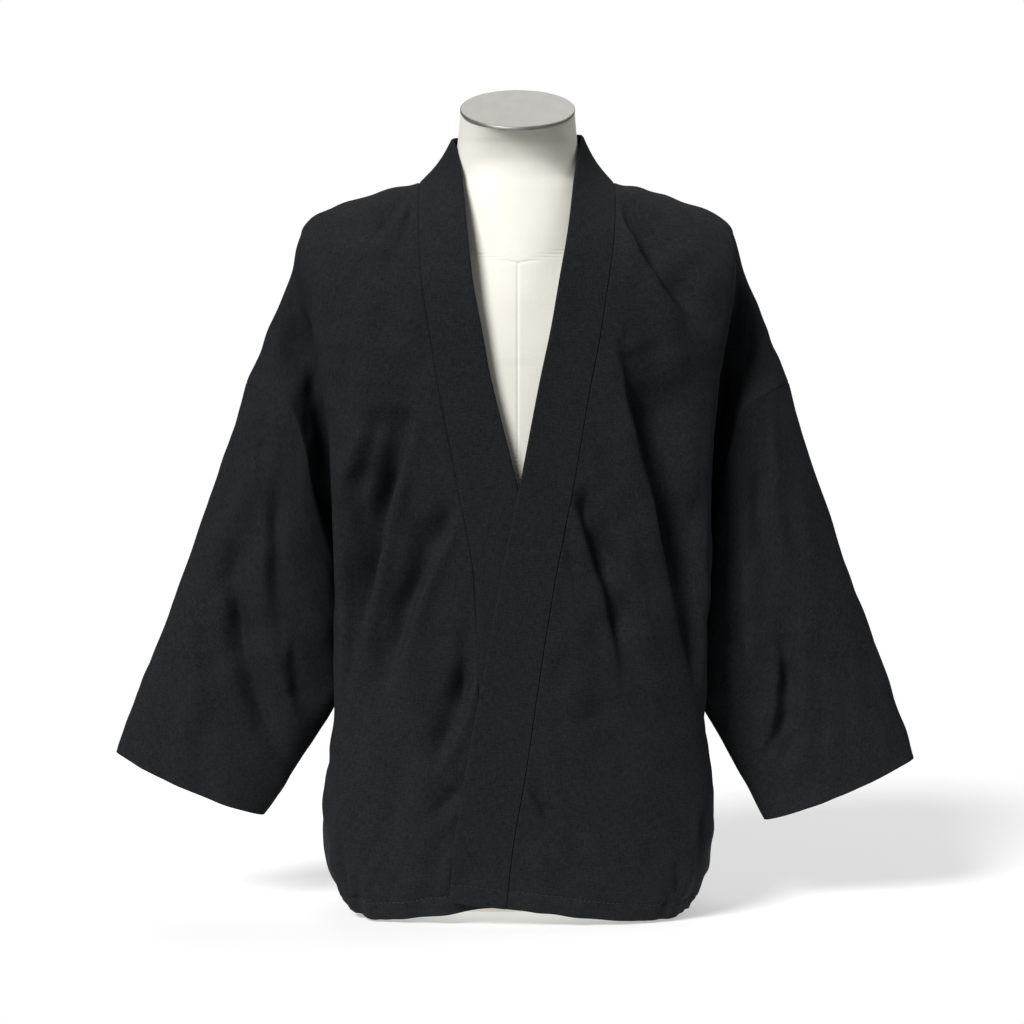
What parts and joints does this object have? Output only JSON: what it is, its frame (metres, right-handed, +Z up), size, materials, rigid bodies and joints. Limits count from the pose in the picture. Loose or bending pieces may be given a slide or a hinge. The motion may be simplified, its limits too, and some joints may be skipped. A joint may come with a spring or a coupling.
{
  "type": "kimono jacket on dress form",
  "caption": "Black cotton kimono work jacket with wide straight sleeves and a plain collar band, hung on a canvas torso form that stands on its flat base.",
  "frame": {"origin": "on the form's flat base, below the middle of the neck, at floor level", "axes": "+Z up, -Y to the front of the jacket, +X to the wearer's left, which a viewer in front sees on the right"},
  "size_m": [0.8406, 0.2879, 0.859],
  "materials": {
    "cloth": "matt black cotton with small slubs",
    "canvas": "cream canvas, smooth",
    "plate": "matt grey metal"
  },
  "bodies": {
    "root": {"body_left": "cloth", "body_right": "cloth", "sleeve_left": "cloth", "sleeve_right": "cloth", "collar_band": "cloth", "torso_form": "canvas", "neck_plate": "plate"}
  },
  "joints": []
}
